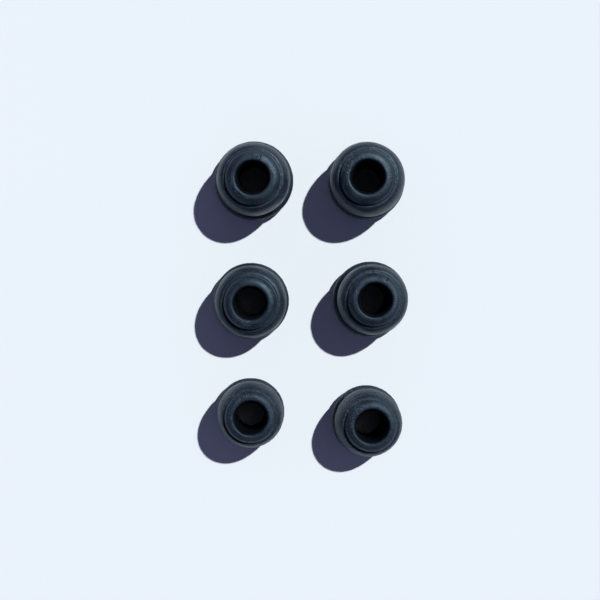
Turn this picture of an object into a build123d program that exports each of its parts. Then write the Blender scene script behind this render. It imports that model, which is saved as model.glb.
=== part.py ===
"""Six moulded rubber string dampeners, standing apart on their feet in two columns of three.

Every dampener is one solid of revolution, moulded in one piece round a through bore. From the
foot up it has a flat foot, a wide lower lobe, the groove that two racket strings sit in, a
tall upper lobe, and a collar whose rounded rim runs down a flared throat into the bore.
"""

import os
from dataclasses import dataclass

from build123d import *

# Nominal outside diameters (millimetres)
LOWER_LOBE_DIAMETER = 14.0
UPPER_LOBE_DIAMETER = 12.9
COLLAR_DIAMETER = 9.4

# Bore, its throat and the rim round it
BORE_DIAMETER = 5.4
MOUTH_ROUND = 0.3
THROAT_DEPTH = 1.0
THROAT_FLARE = 0.4
RIM_INNER_RADIUS = 0.3
RIM_OUTER_DROP = 0.95

# Heights, from the foot upwards
FOOT_HEIGHT = 0.55
LOWER_LOBE_UNDERSIDE = 1.05
LOWER_LOBE_TOP = 0.9
STRING_GROOVE_WIDTH = 1.3
UPPER_LOBE_UNDERSIDE = 1.35
UPPER_LOBE_SIDE = 1.1
UPPER_LOBE_TOP = 2.0
COLLAR_RISE = 1.25

# Forms that lie across the section
STRING_GROOVE_DEPTH = 1.3
COLLAR_FILLET = 0.25
SHOULDER_LAND = 0.2
FOOT_ROUND = 0.2

# Spacing of the set
COLUMN_SPACING = 21.8
ROW_SPACING = 22.0

QUARTER_TURN = 90
HALF_TURN = 180


@dataclass
class Moulding:
    """One dampener: its place in the set, how far it stands off that place, and how it differs
    from nominal: its three outside diameters, its height, how much lower its upper lobe is
    fullest, and how much that lobe's side leans in."""

    name: str
    column: int
    row: int
    off_x: float
    off_y: float
    lower_extra: float
    upper_extra: float
    collar_extra: float
    height_extra: float
    belly_drop: float
    side_taper: float


MOULDINGS = [
    Moulding("dampener_back_left", -1, 1, 0.25, -0.03, 0.8, 0.6, 0.3, 0.9, 0.0, 0.15),
    Moulding("dampener_back_right", 1, 1, -0.45, -0.15, 0.3, 0.8, 0.3, 0.9, 0.0, 0.15),
    Moulding("dampener_middle_left", -1, 0, -0.25, -0.5, 0.2, 0.3, 0.0, 0.0, 0.0, 0.1),
    Moulding("dampener_middle_right", 1, 0, 0.3, -0.2, 0.1, 0.0, 0.0, 0.6, 0.0, 0.1),
    Moulding("dampener_front_left", -1, -1, -0.35, 0.65, -1.3, -0.75, -0.2, 0.0, 0.8, 0.3),
    Moulding("dampener_front_right", 1, -1, -0.48, -0.87, -1.0, -0.6, -0.2, 0.0, 0.9, 0.4),
]

# Levels of the forms that every dampener shares
lower_lobe_level = FOOT_HEIGHT + LOWER_LOBE_UNDERSIDE
groove_floor_level = lower_lobe_level + LOWER_LOBE_TOP + STRING_GROOVE_WIDTH / 2
groove_top_level = groove_floor_level + STRING_GROOVE_WIDTH / 2

# Radii of the rings round the bore
bore_radius = BORE_DIAMETER / 2
foot_inner_radius = bore_radius + MOUTH_ROUND
throat_radius = bore_radius + THROAT_FLARE
rim_crest_radius = throat_radius + RIM_INNER_RADIUS


def make_dampener(moulding):
    """Revolve one dampener about its own axis, standing at its place in the set."""
    lower_radius = (LOWER_LOBE_DIAMETER + moulding.lower_extra) / 2
    upper_radius = (UPPER_LOBE_DIAMETER + moulding.upper_extra) / 2
    collar_radius = (COLLAR_DIAMETER + moulding.collar_extra) / 2
    fillet_radius = collar_radius + COLLAR_FILLET
    shoulder_radius = fillet_radius + SHOULDER_LAND
    groove_edge_radius = upper_radius - STRING_GROOVE_DEPTH + STRING_GROOVE_WIDTH / 2
    side_top_radius = upper_radius - moulding.side_taper

    underside = UPPER_LOBE_UNDERSIDE - moulding.belly_drop
    upper_lobe_level = groove_top_level + underside
    side_top_level = (
        groove_top_level + UPPER_LOBE_UNDERSIDE + UPPER_LOBE_SIDE + moulding.height_extra
    )
    shoulder_level = side_top_level + UPPER_LOBE_TOP
    rim_level = shoulder_level + COLLAR_RISE

    x = moulding.column * COLUMN_SPACING / 2 + moulding.off_x
    y = moulding.row * ROW_SPACING + moulding.off_y
    half_section = Plane((x, y, 0), x_dir=(1, 0, 0), z_dir=(0, -1, 0))

    with BuildPart() as dampener:
        with BuildSketch(half_section):
            with BuildLine():
                # Bore, and the flat foot that the dampener stands on
                Line((bore_radius, rim_level - THROAT_DEPTH), (bore_radius, MOUTH_ROUND))
                CenterArc((foot_inner_radius, MOUTH_ROUND), MOUTH_ROUND, 180, QUARTER_TURN)
                Line((foot_inner_radius, 0), (collar_radius - FOOT_ROUND, 0))
                CenterArc((collar_radius - FOOT_ROUND, FOOT_ROUND), FOOT_ROUND, 270, QUARTER_TURN)
                Line((collar_radius, FOOT_ROUND), (collar_radius, FOOT_HEIGHT - COLLAR_FILLET))
                CenterArc(
                    (fillet_radius, FOOT_HEIGHT - COLLAR_FILLET), COLLAR_FILLET, 90, QUARTER_TURN
                )
                Line((fillet_radius, FOOT_HEIGHT), (shoulder_radius, FOOT_HEIGHT))
                # Lower lobe, fullest well below half height
                EllipticalCenterArc(
                    (shoulder_radius, lower_lobe_level),
                    lower_radius - shoulder_radius,
                    LOWER_LOBE_UNDERSIDE,
                    start_angle=270,
                    arc_size=QUARTER_TURN,
                )
                EllipticalCenterArc(
                    (groove_edge_radius, lower_lobe_level),
                    lower_radius - groove_edge_radius,
                    LOWER_LOBE_TOP,
                    arc_size=QUARTER_TURN,
                )
                # Groove for the strings
                CenterArc(
                    (groove_edge_radius, groove_floor_level), STRING_GROOVE_WIDTH / 2, 90, HALF_TURN
                )
                # Upper lobe, with its side leaning in a little towards the shoulder
                EllipticalCenterArc(
                    (groove_edge_radius, upper_lobe_level),
                    upper_radius - groove_edge_radius,
                    underside,
                    start_angle=270,
                    arc_size=QUARTER_TURN,
                )
                Line((upper_radius, upper_lobe_level), (side_top_radius, side_top_level))
                EllipticalCenterArc(
                    (shoulder_radius, side_top_level),
                    side_top_radius - shoulder_radius,
                    UPPER_LOBE_TOP,
                    arc_size=QUARTER_TURN,
                )
                # Collar and its rounded rim
                Line((shoulder_radius, shoulder_level), (fillet_radius, shoulder_level))
                CenterArc(
                    (fillet_radius, shoulder_level + COLLAR_FILLET), COLLAR_FILLET, 180, QUARTER_TURN
                )
                Line(
                    (collar_radius, shoulder_level + COLLAR_FILLET),
                    (collar_radius, rim_level - RIM_OUTER_DROP),
                )
                EllipticalCenterArc(
                    (rim_crest_radius, rim_level - RIM_OUTER_DROP),
                    collar_radius - rim_crest_radius,
                    RIM_OUTER_DROP,
                    arc_size=QUARTER_TURN,
                )
                # Inside of the rim, and the throat that narrows to the bore
                CenterArc(
                    (rim_crest_radius, rim_level - RIM_INNER_RADIUS),
                    RIM_INNER_RADIUS,
                    90,
                    QUARTER_TURN,
                )
                Line(
                    (throat_radius, rim_level - RIM_INNER_RADIUS),
                    (bore_radius, rim_level - THROAT_DEPTH),
                )
            make_face()
        revolve(axis=Axis((x, y, 0), (0, 0, 1)))

    dampener.part.label = moulding.name
    return dampener.part


os.makedirs("parts", exist_ok=True)
for moulding in MOULDINGS:
    export_step(make_dampener(moulding), f"parts/{moulding.name}.step")
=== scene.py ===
"""Six moulded rubber string dampeners, dressed and lit on a plain pale floor.

Each dampener is one revolved moulding round a through bore. Its rings, folds, grain, creases
and knocks are real geometry, and its rubber is one procedural finish with a few variants; one of
them is a darker, duller copy that paints shade into the bore.
"""

import logging
import math
from dataclasses import dataclass, field
from enum import Enum

import bpy
import numpy as np
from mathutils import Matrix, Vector


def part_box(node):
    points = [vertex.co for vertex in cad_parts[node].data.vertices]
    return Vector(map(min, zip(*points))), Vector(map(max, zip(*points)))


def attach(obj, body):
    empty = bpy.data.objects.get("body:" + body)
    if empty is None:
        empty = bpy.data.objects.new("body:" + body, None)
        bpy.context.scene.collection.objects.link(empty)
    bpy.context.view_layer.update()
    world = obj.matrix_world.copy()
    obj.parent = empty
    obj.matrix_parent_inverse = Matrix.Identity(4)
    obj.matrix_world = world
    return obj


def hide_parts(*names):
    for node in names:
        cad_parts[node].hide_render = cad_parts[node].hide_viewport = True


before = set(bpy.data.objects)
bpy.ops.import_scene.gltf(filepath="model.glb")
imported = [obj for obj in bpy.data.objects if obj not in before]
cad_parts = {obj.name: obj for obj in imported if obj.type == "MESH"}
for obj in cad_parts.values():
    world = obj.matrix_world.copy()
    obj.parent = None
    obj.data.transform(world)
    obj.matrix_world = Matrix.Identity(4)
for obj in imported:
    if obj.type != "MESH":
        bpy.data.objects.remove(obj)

MM = 0.001
SCRATCH_LIP = 0.45
SCRATCH_LIP_AT = 1.6
SCRATCH_LIP_SHARPNESS = 3
QUARTER_PER_CHORD = 1.2
RIM_FACING = 0.5
MARK_FACING = 0.4
BLOOM_FACING = 0.3
THROAT_FACING = 0.6
FOOT_BAND = 0.12 * MM
DUST_EVENNESS = 0.6
DUST_LENGTH = 1.1 * MM
DUST_SEED_STEP = 50
log = logging.getLogger("string_dampeners")


class Place(Enum):
    """Where a dampener stands in the set, by the name of its solid."""

    BACK_LEFT = "dampener_back_left"
    BACK_RIGHT = "dampener_back_right"
    MIDDLE_LEFT = "dampener_middle_left"
    MIDDLE_RIGHT = "dampener_middle_right"
    FRONT_LEFT = "dampener_front_left"
    FRONT_RIGHT = "dampener_front_right"


class MarkKind(Enum):
    """What handling has left in the rubber."""

    NICK = "nick"
    SCRATCH = "scratch"
    SWELLING = "swelling"


@dataclass(frozen=True)
class Mark:
    """One knock in a dampener, from a start to an end point in plan round its axis."""

    kind: MarkKind
    start: tuple[float, float]
    end: tuple[float, float]
    width: float
    depth: float

    def relief(self, plan: np.ndarray) -> np.ndarray:
        """Height that the mark adds at points in plan.

        Args:
            plan: x and y of each point from the dampener's axis, in metres.

        Returns:
            The signed height at each point, in metres, below zero where rubber is missing.
        """
        start, end = np.array(self.start), np.array(self.end)
        along = end - start
        share = ((plan - start) @ along) / max(float(along @ along), 1e-12)
        nearest = start + np.clip(share, 0, 1)[:, None] * along
        distance = np.linalg.norm(plan - nearest, axis=1) / self.width
        if self.kind is MarkKind.SCRATCH:
            lip = np.exp(-((distance - SCRATCH_LIP_AT) ** 2) * SCRATCH_LIP_SHARPNESS)
            return self.depth * (SCRATCH_LIP * lip - np.exp(-(distance**2)))
        if self.kind is MarkKind.NICK:
            return -self.depth * np.exp(-(distance**4))
        return self.depth * np.exp(-(distance**2))


@dataclass(frozen=True)
class Bloom:
    """A pale patch of dust and rubber bloom, round a point in plan from the axis."""

    centre: tuple[float, float]
    reach: float
    strength: float

    def cover(self, plan: np.ndarray) -> np.ndarray:
        """Share of bloom that the patch lays at points in plan.

        Args:
            plan: x and y of each point from the dampener's axis, in metres.

        Returns:
            The share at each point, from 0 to the patch's strength.
        """
        distance = np.linalg.norm(plan - np.array(self.centre), axis=1) / self.reach
        return self.strength * np.exp(-(distance**2))


@dataclass
class Lattice:
    """Smooth noise from a seeded grid of random values that repeats in all directions."""

    seed: int
    side: int = 48
    values: np.ndarray = field(init=False)

    def __post_init__(self) -> None:
        """Draw the grid's random values from the seed."""
        self.values = np.random.default_rng(self.seed).uniform(-1, 1, (self.side,) * 3)

    def sample(self, points: np.ndarray, wavelength: float) -> np.ndarray:
        """Noise at points in space.

        Args:
            points: the points, in metres.
            wavelength: the distance between the grid's values, in metres.

        Returns:
            One value from -1 to 1 for each point.
        """
        place = points / wavelength
        cell = np.floor(place).astype(int)
        share = place - cell
        share = share * share * (3 - 2 * share)
        total = np.zeros(len(points))
        for corner in np.ndindex(2, 2, 2):
            weight = np.prod(np.where(corner, share, 1 - share), axis=1)
            index = (cell + np.array(corner)) % self.side
            total += weight * self.values[index[:, 0], index[:, 1], index[:, 2]]
        return total


@dataclass
class Outline:
    """A pen that draws half a section as closely spaced points."""

    points: list[tuple[float, float]] = field(default_factory=list)

    def line(self, start: tuple[float, float], end: tuple[float, float], step: float) -> None:
        """Draw a straight run, without its last point.

        Args:
            start: radius and level of its first point.
            end: radius and level of its last point.
            step: the longest distance between points.
        """
        length = math.dist(start, end)
        count = max(1, math.ceil(length / step))
        for i in range(count):
            share = i / count
            self.points.append(
                (start[0] + (end[0] - start[0]) * share, start[1] + (end[1] - start[1]) * share)
            )

    def arc(
        self,
        centre: tuple[float, float],
        radii: tuple[float, float],
        start: float,
        sweep: float,
        step: float,
    ) -> None:
        """Draw part of an ellipse, without its last point.

        Args:
            centre: radius and level of its centre.
            radii: its half width and half height.
            start: the angle that it starts at, in degrees.
            sweep: the angle that it turns through, in degrees, below zero for clockwise.
            step: the longest distance between points.
        """
        length = math.radians(abs(sweep)) * math.sqrt((radii[0] ** 2 + radii[1] ** 2) / 2)
        count = max(2, math.ceil(length / step))
        for i in range(count):
            angle = math.radians(start + sweep * i / count)
            self.points.append(
                (centre[0] + radii[0] * math.cos(angle), centre[1] + radii[1] * math.sin(angle))
            )

    def dome(
        self, start: tuple[float, float], end: tuple[float, float], curve: float, step: float
    ) -> None:
        """Draw a dome from a lobe's widest point up to its shoulder, without its last point.

        Args:
            start: radius and level of the widest point.
            end: radius and level of the shoulder.
            curve: 1 for a plain quarter ellipse, more for a straighter cone.
            step: the longest distance between points.
        """
        wide, tall = start[0] - end[0], end[1] - start[1]
        count = max(2, math.ceil(QUARTER_PER_CHORD * math.hypot(wide, tall) / step))
        for i in range(count):
            turn = math.pi / 2 * i / count
            self.points.append(
                (end[0] + wide * math.cos(turn) ** curve, start[1] + tall * math.sin(turn))
            )


@dataclass(frozen=True)
class Section:
    """Half section of one dampener, in metres."""

    upper_radius: float
    collar_radius: float
    dome_curve: float = 1.1
    belly_drop: float = 0.0
    bore_radius: float = 2.7 * MM
    mouth_round: float = 0.3 * MM
    throat_depth: float = 1.0 * MM
    throat_flare: float = 0.4 * MM
    throat_edge: float = 0.05 * MM
    rim_inner_radius: float = 0.3 * MM
    rim_outer_drop: float = 0.95 * MM
    foot_height: float = 0.55 * MM
    foot_round: float = 0.2 * MM
    lower_underside: float = 1.05 * MM
    lower_top: float = 0.9 * MM
    groove_width: float = 1.3 * MM
    groove_depth: float = 1.3 * MM
    upper_underside: float = 1.35 * MM
    collar_rise: float = 1.25 * MM
    collar_fillet: float = 0.25 * MM
    shoulder_land: float = 0.2 * MM
    fine: float = 0.085 * MM
    medium: float = 0.13 * MM
    coarse: float = 0.3 * MM

    @property
    def throat(self) -> float:
        """Radius of the throat where it meets the rim."""
        return self.bore_radius + self.throat_flare

    @property
    def crest(self) -> float:
        """Radius of the rim's crest."""
        return self.throat + self.rim_inner_radius

    @property
    def lower_level(self) -> float:
        """Level at which the lower lobe is widest."""
        return self.foot_height + self.lower_underside

    @property
    def groove_level(self) -> float:
        """Level of the middle of the string groove."""
        return self.lower_level + self.lower_top + self.groove_width / 2

    @property
    def upper_level(self) -> float:
        """Level at which the upper lobe is widest."""
        return self.groove_level + self.groove_width / 2 + self.upper_underside - self.belly_drop

    def outline(self, lower: float, height: float) -> np.ndarray:
        """Draw the closed half section of one dampener.

        Args:
            lower: radius of its lower lobe.
            height: how tall it stands.

        Returns:
            Its points as rows of radius and level, in metres, in order round the section.
        """
        pen = Outline()
        collar, upper = self.collar_radius, self.upper_radius
        mouth = self.bore_radius + self.mouth_round
        fillet = collar + self.collar_fillet
        shoulder = fillet + self.shoulder_land
        half_groove = self.groove_width / 2
        groove = upper - self.groove_depth + half_groove
        shoulder_level = height - self.collar_rise

        pen.line(
            (self.bore_radius, height - self.throat_depth),
            (self.bore_radius, self.mouth_round),
            self.coarse,
        )
        pen.arc((mouth, self.mouth_round), (self.mouth_round,) * 2, 180, 90, self.medium)
        pen.line((mouth, 0), (collar - self.foot_round, 0), self.coarse)
        pen.arc(
            (collar - self.foot_round, self.foot_round),
            (self.foot_round,) * 2,
            270,
            90,
            self.medium,
        )
        pen.line(
            (collar, self.foot_round), (collar, self.foot_height - self.collar_fillet), self.medium
        )
        pen.arc(
            (fillet, self.foot_height - self.collar_fillet),
            (self.collar_fillet,) * 2,
            180,
            -90,
            self.medium,
        )
        pen.line((fillet, self.foot_height), (shoulder, self.foot_height), self.medium)
        pen.arc(
            (shoulder, self.lower_level),
            (lower - shoulder, self.lower_underside),
            270,
            90,
            self.medium,
        )
        pen.arc((groove, self.lower_level), (lower - groove, self.lower_top), 0, 90, self.medium)
        pen.arc((groove, self.groove_level), (half_groove,) * 2, 270, -180, self.medium)
        pen.arc(
            (groove, self.upper_level),
            (upper - groove, self.upper_underside - self.belly_drop),
            270,
            90,
            self.medium,
        )
        pen.dome((upper, self.upper_level), (shoulder, shoulder_level), self.dome_curve, self.fine)
        pen.line((shoulder, shoulder_level), (fillet, shoulder_level), self.fine)
        pen.arc(
            (fillet, shoulder_level + self.collar_fillet),
            (self.collar_fillet,) * 2,
            270,
            -90,
            self.fine,
        )
        pen.line(
            (collar, shoulder_level + self.collar_fillet),
            (collar, height - self.rim_outer_drop),
            self.fine,
        )
        pen.arc(
            (self.crest, height - self.rim_outer_drop),
            (collar - self.crest, self.rim_outer_drop),
            0,
            90,
            self.fine,
        )
        pen.arc(
            (self.crest, height - self.rim_inner_radius),
            (self.rim_inner_radius,) * 2,
            90,
            90,
            self.fine,
        )
        pen.line(
            (self.throat, height - self.rim_inner_radius),
            (self.bore_radius, height - self.throat_depth),
            self.fine,
        )
        return np.array(pen.points)


@dataclass(frozen=True)
class Relief:
    """How deep the moulded skin's unevenness goes, in metres."""

    sway: float = 0.05 * MM
    sway_length: float = 3.4 * MM
    grain: float = 0.017 * MM
    grain_length: float = 0.42 * MM
    fine_grain: float = 0.6
    fine_grain_length: float = 0.24 * MM
    fine_grain_offset: float = 7 * MM
    crease: float = 0.014 * MM
    crease_count: int = 84
    crease_inset: float = 0.5 * MM
    crease_reach: float = 0.8 * MM
    swing: float = 2.2
    swing_circle: float = 6 * MM
    swing_length: float = 1 * MM
    fade_circle: float = 4 * MM
    fade_offset: float = 3 * MM
    fade_length: float = 1.3 * MM


@dataclass(frozen=True)
class RubberFinish:
    """Dark blue-grey moulded rubber with a soft gloss, a fine grain and a little dust."""

    name: str = "moulded_rubber"
    deep: tuple[float, float, float, float] = (0.003, 0.006, 0.011, 1)
    worn: tuple[float, float, float, float] = (0.008, 0.014, 0.022, 1)
    dust: tuple[float, float, float, float] = (0.14, 0.18, 0.25, 1)
    gloss_low: float = 0.42
    gloss_high: float = 0.56
    specular: float = 0.5
    specular_tint: tuple[float, float, float, float] = (0.58, 0.80, 1.0, 1)
    sheen: float = 0.12
    sheen_roughness: float = 0.3
    sheen_tint: tuple[float, float, float, float] = (0.60, 0.76, 1.0, 1)
    grain_depth: float = 0.02 * MM
    ior: float = 1.5
    cloud_range: tuple[float, float] = (0.35, 0.68)
    fleck_range: tuple[float, float] = (0.52, 0.72)
    gloss_range: tuple[float, float] = (0.3, 0.7)
    cloud_scale: float = 420.0
    grain_scale: float = 4200.0
    pore_scale: float = 9000.0

    def material(self) -> bpy.types.Material:
        """Build the rubber's material.

        Returns:
            The material of this name, made once of nodes that read the object's coordinates.
        """
        held = bpy.data.materials.get(self.name)
        if held:
            return held
        made = bpy.data.materials.new(self.name)
        made.use_nodes = True
        nodes, links = made.node_tree.nodes, made.node_tree.links
        shader = nodes["Principled BSDF"]
        shader.inputs["IOR"].default_value = self.ior
        shader.inputs["Specular IOR Level"].default_value = self.specular
        shader.inputs["Specular Tint"].default_value = self.specular_tint
        shader.inputs["Sheen Weight"].default_value = self.sheen
        shader.inputs["Sheen Roughness"].default_value = self.sheen_roughness
        shader.inputs["Sheen Tint"].default_value = self.sheen_tint

        place = nodes.new("ShaderNodeTexCoord")
        cloud = self._noise(nodes, self.cloud_scale, 5.0, 0.6)
        grain = self._noise(nodes, self.grain_scale, 3.0, 0.6)
        pore = self._noise(nodes, self.pore_scale, 2.0, 0.5)
        for texture in (cloud, grain, pore):
            links.new(place.outputs["Object"], texture.inputs["Vector"])
        bloom = nodes.new("ShaderNodeAttribute")
        bloom.attribute_name = "bloom"

        tone = self._range(nodes, *self.cloud_range, 0.0, 1.0)
        links.new(cloud.outputs["Fac"], tone.inputs["Value"])
        body = nodes.new("ShaderNodeMix")
        body.data_type = "RGBA"
        body.inputs["A"].default_value = self.deep
        body.inputs["B"].default_value = self.worn
        links.new(tone.outputs["Result"], body.inputs["Factor"])

        fleck = self._range(nodes, *self.fleck_range, 0.0, 1.0)
        links.new(grain.outputs["Fac"], fleck.inputs["Value"])
        dusting = nodes.new("ShaderNodeMath")
        dusting.operation = "MULTIPLY"
        links.new(fleck.outputs["Result"], dusting.inputs[0])
        links.new(bloom.outputs["Fac"], dusting.inputs[1])
        skin = nodes.new("ShaderNodeMix")
        skin.data_type = "RGBA"
        skin.inputs["B"].default_value = self.dust
        links.new(body.outputs["Result"], skin.inputs["A"])
        links.new(dusting.outputs["Value"], skin.inputs["Factor"])
        links.new(skin.outputs["Result"], shader.inputs["Base Color"])

        gloss = self._range(nodes, *self.gloss_range, self.gloss_low, self.gloss_high)
        links.new(cloud.outputs["Fac"], gloss.inputs["Value"])
        links.new(gloss.outputs["Result"], shader.inputs["Roughness"])

        height = nodes.new("ShaderNodeMath")
        height.operation = "ADD"
        links.new(grain.outputs["Fac"], height.inputs[0])
        links.new(pore.outputs["Fac"], height.inputs[1])
        bump = nodes.new("ShaderNodeBump")
        bump.inputs["Distance"].default_value = self.grain_depth
        bump.inputs["Strength"].default_value = 1.0
        links.new(height.outputs["Value"], bump.inputs["Height"])
        links.new(bump.outputs["Normal"], shader.inputs["Normal"])
        return made

    @staticmethod
    def _noise(nodes: bpy.types.Nodes, scale: float, detail: float, rough: float) -> bpy.types.Node:
        """Add a noise texture.

        Args:
            nodes: the material's nodes.
            scale: how many waves it has to a metre.
            detail: how many finer layers it adds.
            rough: how strong each finer layer is.

        Returns:
            The noise node.
        """
        made = nodes.new("ShaderNodeTexNoise")
        made.inputs["Scale"].default_value = scale
        made.inputs["Detail"].default_value = detail
        made.inputs["Roughness"].default_value = rough
        return made

    @staticmethod
    def _range(
        nodes: bpy.types.Nodes, low: float, high: float, to_low: float, to_high: float
    ) -> bpy.types.Node:
        """Add a node that stretches one range of numbers to another.

        Args:
            nodes: the material's nodes.
            low: the number that becomes to_low.
            high: the number that becomes to_high.
            to_low: the lowest number given out.
            to_high: the highest number given out.

        Returns:
            The map range node.
        """
        made = nodes.new("ShaderNodeMapRange")
        made.inputs["From Min"].default_value = low
        made.inputs["From Max"].default_value = high
        made.inputs["To Min"].default_value = to_low
        made.inputs["To Max"].default_value = to_high
        return made


@dataclass
class Dampener:
    """One string dampener, built round the place of its solid."""

    place: Place
    section: Section
    finish: RubberFinish
    # a darker, duller copy of the rubber: painted shade on the bore's faces
    bore_painted_shade_finish: RubberFinish
    relief: Relief = Relief()
    lean: tuple[float, float] = (0.0, 0.0)
    marks: tuple[Mark, ...] = ()
    blooms: tuple[Bloom, ...] = ()
    dust: float = 0.15
    seed: int = 1
    turns: int = 440
    height: float = field(init=False)

    def build(self) -> bpy.types.Object:
        """Build the moulding, dress it, and let it stand for its solid.

        Returns:
            The dampener's mesh object, riding on the root body.
        """
        low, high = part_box(self.place.value)
        self.height = high.z
        axis = ((low.x + high.x) / 2, (low.y + high.y) / 2)
        outline = self.section.outline((high.x - low.x) / 2, self.height)
        points = self._revolve(outline).reshape(-1, 3)
        facing = self._normals(outline).reshape(-1, 3)
        raised = points + facing * self._height(points, facing)[:, None]
        bloom = self._bloom(points, facing)
        raised = raised + self._leaning(points) + np.array([axis[0], axis[1], 0.0])
        raised = np.clip(raised, np.array(low), np.array(high))
        # faces in the bore take the darker bore finish, which paints the shade that falls there
        bore_shade_mask = outline[:, 0] < self.section.throat - self.section.throat_edge
        piece = self._object(raised, bore_shade_mask, bloom)
        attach(piece, "root")
        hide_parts(self.place.value)
        return piece

    def _leaning(self, points: np.ndarray) -> np.ndarray:
        """Work out how far the soft upper part leans off the axis.

        Args:
            points: the skin's points from the dampener's axis, in metres.

        Returns:
            The sideways move of each point, nothing at the string groove and all of it at the rim.
        """
        start = self.section.groove_level
        share = np.clip((points[:, 2] - start) / (self.height - start), 0, 1)
        return share[:, None] * np.array([self.lean[0], self.lean[1], 0.0])

    def _revolve(self, outline: np.ndarray) -> np.ndarray:
        """Turn the half section round the axis.

        Args:
            outline: radius and level of each of its points.

        Returns:
            The points, by turn and then by place in the outline.
        """
        angle = np.linspace(0, 2 * math.pi, self.turns, endpoint=False)[:, None]
        radius, level = outline[None, :, 0], outline[None, :, 1]
        return np.stack(
            [radius * np.cos(angle), radius * np.sin(angle), level + 0 * angle], axis=-1
        )

    def _normals(self, outline: np.ndarray) -> np.ndarray:
        """Work out which way each point of the skin faces.

        Args:
            outline: radius and level of each point of the half section.

        Returns:
            The outward directions, by turn and then by place in the outline.
        """
        along = np.roll(outline, -1, axis=0) - np.roll(outline, 1, axis=0)
        along /= np.linalg.norm(along, axis=1)[:, None]
        out = np.stack([along[:, 1], -along[:, 0]], axis=1)
        angle = np.linspace(0, 2 * math.pi, self.turns, endpoint=False)[:, None]
        radial, upward = out[None, :, 0], out[None, :, 1]
        return np.stack(
            [radial * np.cos(angle), radial * np.sin(angle), upward + 0 * angle], axis=-1
        )

    def _height(self, points: np.ndarray, facing: np.ndarray) -> np.ndarray:
        """Add up everything that raises or lowers the skin.

        Args:
            points: the skin's points from the dampener's axis, in metres.
            facing: the way each point faces.

        Returns:
            The height to add at each point, in metres.
        """
        lattice = Lattice(self.seed)
        section, relief = self.section, self.relief
        plan = points[:, :2]
        radius = np.linalg.norm(plan, axis=1)
        angle = np.arctan2(points[:, 1], points[:, 0])
        level = points[:, 2]
        fine = lattice.sample(points + relief.fine_grain_offset, relief.fine_grain_length)
        height = relief.sway * lattice.sample(points, relief.sway_length)
        height = height + relief.grain * lattice.sample(points, relief.grain_length)
        height = height + relief.fine_grain * relief.grain * fine

        from_rim = (radius - section.collar_radius + relief.crease_inset) / relief.crease_reach
        rim = np.exp(-(from_rim**2)) * (level > self.height - section.collar_rise)
        rim = rim * np.clip(facing[:, 2] + RIM_FACING, 0, 1)
        around = np.stack([np.cos(angle), np.sin(angle), 0 * angle], axis=1)
        swing = relief.swing * lattice.sample(around * relief.swing_circle, relief.swing_length)
        crease = np.sin(relief.crease_count * angle + swing)
        fade = lattice.sample(around * relief.fade_circle + relief.fade_offset, relief.fade_length)
        height = height + relief.crease * rim * crease * (1 + fade) / 2

        upward = np.clip(facing[:, 2] + MARK_FACING, 0, 1) * (level > section.upper_level)
        for mark in self.marks:
            height = height + mark.relief(plan) * upward
        inside = (radius < section.throat) & (level < self.height - section.throat_depth)
        foot = level < FOOT_BAND
        return np.where(inside | foot, 0.0, height)

    def _bloom(self, points: np.ndarray, facing: np.ndarray) -> np.ndarray:
        """Work out how much pale bloom lies on each point of the skin.

        Args:
            points: the skin's points from the dampener's axis, in metres.
            facing: the way each point faces.

        Returns:
            The share of bloom at each point, from 0 to 1.
        """
        lattice = Lattice(self.seed + DUST_SEED_STEP)
        plan = points[:, :2]
        patchiness = (1 - DUST_EVENNESS) * lattice.sample(points, DUST_LENGTH)
        cover = self.dust * (DUST_EVENNESS + patchiness)
        for bloom in self.blooms:
            cover = cover + bloom.cover(plan) * np.clip(facing[:, 2] + BLOOM_FACING, 0, 1)
        inside = np.linalg.norm(plan, axis=1) < self.section.throat
        inside = inside & (facing[:, 2] < THROAT_FACING)
        return np.clip(np.where(inside, 0.0, cover), 0, 1)

    def _object(
        self, points: np.ndarray, bore_shade_mask: np.ndarray, bloom: np.ndarray
    ) -> bpy.types.Object:
        """Join the points into one closed skin of four-sided faces, in the rubber finish and a
        darker copy of it that paints shade into the bore.

        Args:
            points: the skin's points in the row frame, by turn and then along the outline.
            bore_shade_mask: for each point of the outline, whether it lies in the bore and gets the
                painted shade.
            bloom: the share of bloom at each point.

        Returns:
            The new mesh object, in the scene.
        """
        across = len(bore_shade_mask)
        turn = np.arange(self.turns)[:, None]
        step = np.arange(across)[None, :]
        next_turn, next_step = (turn + 1) % self.turns, (step + 1) % across
        faces = np.stack(
            [
                turn * across + step,
                next_turn * across + step,
                next_turn * across + next_step,
                turn * across + next_step,
            ],
            axis=-1,
        ).reshape(-1, 4)
        mesh = bpy.data.meshes.new(self.place.value + "_moulding")
        mesh.vertices.add(len(points))
        mesh.vertices.foreach_set("co", points.astype(np.float32).ravel())
        mesh.loops.add(faces.size)
        mesh.loops.foreach_set("vertex_index", faces.astype(np.int32).ravel())
        mesh.polygons.add(len(faces))
        mesh.polygons.foreach_set("loop_start", np.arange(0, faces.size, 4, dtype=np.int32))
        mesh.polygons.foreach_set("use_smooth", np.ones(len(faces), dtype=bool))
        mesh.materials.append(self.finish.material())
        # second slot: the darker bore finish, painted shade for the faces in the bore
        mesh.materials.append(self.bore_painted_shade_finish.material())
        slots = np.tile(bore_shade_mask, self.turns).astype(np.int32)
        mesh.polygons.foreach_set("material_index", slots)
        mesh.update(calc_edges=True)
        mesh.validate()
        held = mesh.attributes.new("bloom", "FLOAT", "POINT")
        held.data.foreach_set("value", bloom.astype(np.float32))
        piece = bpy.data.objects.new(self.place.value + "_moulding", mesh)
        bpy.context.scene.collection.objects.link(piece)
        return piece


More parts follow.
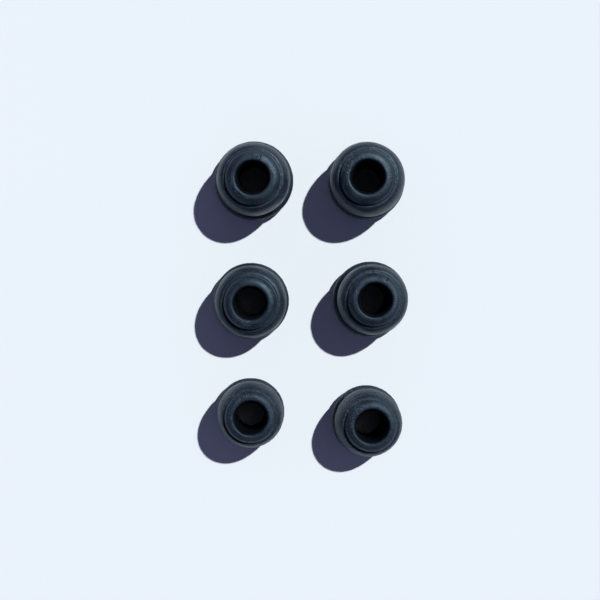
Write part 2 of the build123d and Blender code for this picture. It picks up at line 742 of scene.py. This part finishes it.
@dataclass(frozen=True)
class FloorFinish:
    """Plain pale card with the faintest unevenness of tone."""

    name: str = "pale_card"
    pale: tuple[float, float, float, float] = (0.84, 0.86, 0.88, 1)
    paler: tuple[float, float, float, float] = (0.86, 0.88, 0.90, 1)
    roughness: float = 0.9
    specular: float = 0.15
    cloud_scale: float = 14.0

    def material(self) -> bpy.types.Material:
        """Build the card's material.

        Returns:
            The material.
        """
        made = bpy.data.materials.new(self.name)
        made.use_nodes = True
        nodes, links = made.node_tree.nodes, made.node_tree.links
        shader = nodes["Principled BSDF"]
        shader.inputs["Roughness"].default_value = self.roughness
        shader.inputs["Specular IOR Level"].default_value = self.specular
        place = nodes.new("ShaderNodeTexCoord")
        cloud = nodes.new("ShaderNodeTexNoise")
        cloud.inputs["Scale"].default_value = self.cloud_scale
        tone = nodes.new("ShaderNodeMix")
        tone.data_type = "RGBA"
        tone.inputs["A"].default_value = self.pale
        tone.inputs["B"].default_value = self.paler
        links.new(place.outputs["Object"], cloud.inputs["Vector"])
        links.new(cloud.outputs["Fac"], tone.inputs["Factor"])
        links.new(tone.outputs["Result"], shader.inputs["Base Color"])
        return made


@dataclass
class Studio:
    """The pale floor, one clear key light, a cool fill and the camera overhead."""

    floor_side: float = 3.0
    key_turn: float = 45.0
    key_rise: float = 49.3
    key_energy: float = 3.98
    key_colour: tuple[float, float, float] = (0.94, 0.99, 1.0)
    key_spread: float = 1.4
    fill_low: tuple[float, float, float, float] = (0.19, 0.20, 0.37, 1)
    fill_high: tuple[float, float, float, float] = (0.004, 0.004, 0.008, 1)
    fill_from: float = 0.2
    fill_to: float = 0.9
    camera_at: tuple[float, float, float] = (-10.2 * MM, 1.1 * MM, 158 * MM)
    lens: float = 50.0
    sensor: float = 36.0
    shift: tuple[float, float] = (0.073, -0.013)

    def build_floor(self) -> bpy.types.Object:
        """Lay the floor that the dampeners stand on.

        Returns:
            The floor.
        """
        half = self.floor_side / 2
        mesh = bpy.data.meshes.new("floor")
        mesh.from_pydata(
            [(-half, -half, 0), (half, -half, 0), (half, half, 0), (-half, half, 0)],
            [],
            [(0, 1, 2, 3)],
        )
        floor = bpy.data.objects.new("floor", mesh)
        bpy.context.scene.collection.objects.link(floor)
        mesh.materials.append(FloorFinish().material())
        return floor

    def build_lights(self) -> bpy.types.Object:
        """Hang the key light and set the fill.

        Returns:
            The key light.
        """
        lamp = bpy.data.lights.new("key", "SUN")
        lamp.energy = self.key_energy
        lamp.color = self.key_colour
        lamp.angle = math.radians(self.key_spread)
        key = bpy.data.objects.new("key", lamp)
        rise, turn = math.radians(self.key_rise), math.radians(self.key_turn)
        toward = Vector(
            (math.cos(rise) * math.cos(turn), math.cos(rise) * math.sin(turn), math.sin(rise))
        )
        key.rotation_mode = "QUATERNION"
        key.rotation_quaternion = (-toward).to_track_quat("-Z", "Y")
        bpy.context.scene.collection.objects.link(key)
        world = self._fill()
        bpy.context.scene.world = world
        return key

    def _fill(self) -> bpy.types.World:
        """Make the soft fill, which is brightest low down and dark straight overhead.

        Returns:
            The world that gives the fill.
        """
        world = bpy.data.worlds.new("fill")
        world.use_nodes = True
        nodes, links = world.node_tree.nodes, world.node_tree.links
        place = nodes.new("ShaderNodeTexCoord")
        split = nodes.new("ShaderNodeSeparateXYZ")
        climb = nodes.new("ShaderNodeMapRange")
        climb.inputs["From Min"].default_value = self.fill_from
        climb.inputs["From Max"].default_value = self.fill_to
        tone = nodes.new("ShaderNodeMix")
        tone.data_type = "RGBA"
        tone.inputs["A"].default_value = self.fill_low
        tone.inputs["B"].default_value = self.fill_high
        links.new(place.outputs["Generated"], split.inputs["Vector"])
        links.new(split.outputs["Z"], climb.inputs["Value"])
        links.new(climb.outputs["Result"], tone.inputs["Factor"])
        links.new(tone.outputs["Result"], nodes["Background"].inputs["Color"])
        return world

    def build_camera(self) -> bpy.types.Object:
        """Set the camera overhead, looking straight down.

        Returns:
            The camera.
        """
        view = bpy.data.cameras.new("camera")
        view.lens = self.lens
        view.sensor_width = self.sensor
        view.shift_x, view.shift_y = self.shift
        view.clip_start = 0.005
        camera = bpy.data.objects.new("camera", view)
        camera.location = self.camera_at
        bpy.context.scene.collection.objects.link(camera)
        bpy.context.scene.camera = camera
        bpy.context.scene.view_settings.view_transform = "Standard"
        return camera


SMOOTH = RubberFinish(name="moulded_rubber_smooth")
GRAINY = RubberFinish(name="moulded_rubber_grainy", grain_depth=0.035 * MM, gloss_low=0.48)
# A darker, duller copy of the rubber with no sheen, for the bore's faces: it paints the shade that
# falls in the bore.
BORE_PAINTED_SHADE = RubberFinish(
    name="moulded_rubber_bore_painted_shade",
    deep=(0.001, 0.001, 0.002, 1),
    worn=(0.002, 0.003, 0.004, 1),
    specular=0.12,
    sheen=0.0,
    gloss_low=0.6,
    gloss_high=0.7,
)


def the_set() -> list[Dampener]:
    """List the six dampeners of the set.

    Returns:
        The dampeners, back row first.
    """
    return [
        Dampener(
            place=Place.BACK_LEFT,
            section=Section(6.75 * MM, 4.85 * MM),
            finish=SMOOTH,
            bore_painted_shade_finish=BORE_PAINTED_SHADE,
            lean=(-0.25 * MM, -0.55 * MM),
            marks=(
                Mark(
                    MarkKind.SWELLING,
                    (0.5 * MM, 3.9 * MM),
                    (1.0 * MM, 3.8 * MM),
                    0.3 * MM,
                    0.1 * MM,
                ),
                Mark(
                    MarkKind.NICK,
                    (1.3 * MM, 3.6 * MM),
                    (1.4 * MM, 3.9 * MM),
                    0.2 * MM,
                    0.18 * MM,
                ),
            ),
            blooms=(
                Bloom((0.7 * MM, 4.0 * MM), 0.4 * MM, 0.9),
                Bloom((-3.4 * MM, -1.6 * MM), 1.3 * MM, 0.4),
            ),
            dust=0.25,
            seed=11,
        ),
        Dampener(
            place=Place.BACK_RIGHT,
            section=Section(6.85 * MM, 4.85 * MM),
            finish=SMOOTH,
            bore_painted_shade_finish=BORE_PAINTED_SHADE,
            lean=(-0.9 * MM, -0.3 * MM),
            marks=(
                Mark(
                    MarkKind.SCRATCH,
                    (-3.1 * MM, 4.0 * MM),
                    (-3.2 * MM, 2.9 * MM),
                    0.1 * MM,
                    0.07 * MM,
                ),
                Mark(
                    MarkKind.NICK,
                    (-2.8 * MM, 0.7 * MM),
                    (-3.3 * MM, 0.75 * MM),
                    0.15 * MM,
                    0.12 * MM,
                ),
            ),
            blooms=(
                Bloom((-3.8 * MM, 1.8 * MM), 1.6 * MM, 0.6),
                Bloom((-3.0 * MM, 3.4 * MM), 0.6 * MM, 0.6),
            ),
            dust=0.25,
            seed=12,
        ),
        Dampener(
            place=Place.MIDDLE_LEFT,
            section=Section(6.6 * MM, 4.7 * MM),
            finish=SMOOTH,
            bore_painted_shade_finish=BORE_PAINTED_SHADE,
            lean=(-0.2 * MM, -0.4 * MM),
            blooms=(
                Bloom((-0.6 * MM, -3.9 * MM), 0.9 * MM, 0.8),
                Bloom((-2.6 * MM, -3.2 * MM), 0.7 * MM, 0.5),
            ),
            dust=0.2,
            seed=13,
        ),
        Dampener(
            place=Place.MIDDLE_RIGHT,
            section=Section(6.45 * MM, 4.7 * MM),
            finish=SMOOTH,
            bore_painted_shade_finish=BORE_PAINTED_SHADE,
            relief=Relief(crease=0.055 * MM),
            lean=(-0.3 * MM, -0.1 * MM),
            marks=(
                Mark(
                    MarkKind.NICK,
                    (2.1 * MM, 3.5 * MM),
                    (2.3 * MM, 3.9 * MM),
                    0.17 * MM,
                    0.15 * MM,
                ),
            ),
            blooms=(Bloom((-3.2 * MM, 1.4 * MM), 1.4 * MM, 0.5),),
            dust=0.25,
            seed=14,
        ),
        Dampener(
            place=Place.FRONT_LEFT,
            section=Section(6.075 * MM, 4.6 * MM, dome_curve=1.5, belly_drop=0.8 * MM),
            finish=GRAINY,
            bore_painted_shade_finish=BORE_PAINTED_SHADE,
            relief=Relief(grain=0.026 * MM, crease=0.03 * MM),
            blooms=(Bloom((-3.4 * MM, 4.2 * MM), 2.4 * MM, 0.6),),
            dust=0.35,
            seed=15,
        ),
        Dampener(
            place=Place.FRONT_RIGHT,
            section=Section(6.15 * MM, 4.6 * MM, dome_curve=1.5, belly_drop=0.9 * MM),
            finish=GRAINY,
            bore_painted_shade_finish=BORE_PAINTED_SHADE,
            relief=Relief(grain=0.03 * MM, crease=0.02 * MM),
            blooms=(Bloom((-3.8 * MM, 3.8 * MM), 2.8 * MM, 0.8),),
            dust=0.35,
            seed=16,
        ),
    ]


def main() -> None:
    """Build the set and its studio, and report each piece."""
    logging.basicConfig(level=logging.INFO, format="%(message)s")
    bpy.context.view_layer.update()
    studio = Studio()
    log.info("floor: %s", studio.build_floor().name)
    log.info("key light: %s", studio.build_lights().name)
    log.info("camera: %s", studio.build_camera().name)
    for dampener in the_set():
        piece = dampener.build()
        log.info("%s: %d faces", piece.name, len(piece.data.polygons))


if __name__ == "__main__":
    main()
